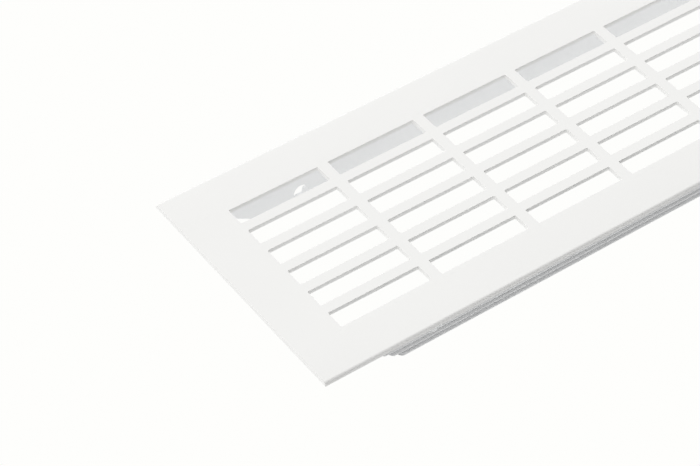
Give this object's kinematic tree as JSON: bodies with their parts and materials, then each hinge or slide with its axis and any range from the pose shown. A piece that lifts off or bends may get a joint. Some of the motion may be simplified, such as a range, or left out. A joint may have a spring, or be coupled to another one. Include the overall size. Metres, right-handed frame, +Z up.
{
  "type": "ventilation grille",
  "caption": "Long flat white ventilation strip with a field of rectangular slots and two ribbed legs beneath, for a cut-out in a worktop, plinth or sill.",
  "frame": {"origin": "centre of the footprint, on the plane the two legs stand on", "axes": "+X along the strip, +Y across it towards the rear leg, +Z up through the slotted face"},
  "size_m": [0.5, 0.081, 0.0172],
  "materials": {
    "plate_coating": "white satin powder coat on aluminium",
    "leg_coating": "white satin powder coat on aluminium, duller than the face"
  },
  "bodies": {
    "root": {"face_plate": "plate_coating", "front_leg": "leg_coating", "rear_leg": "leg_coating"}
  },
  "joints": []
}
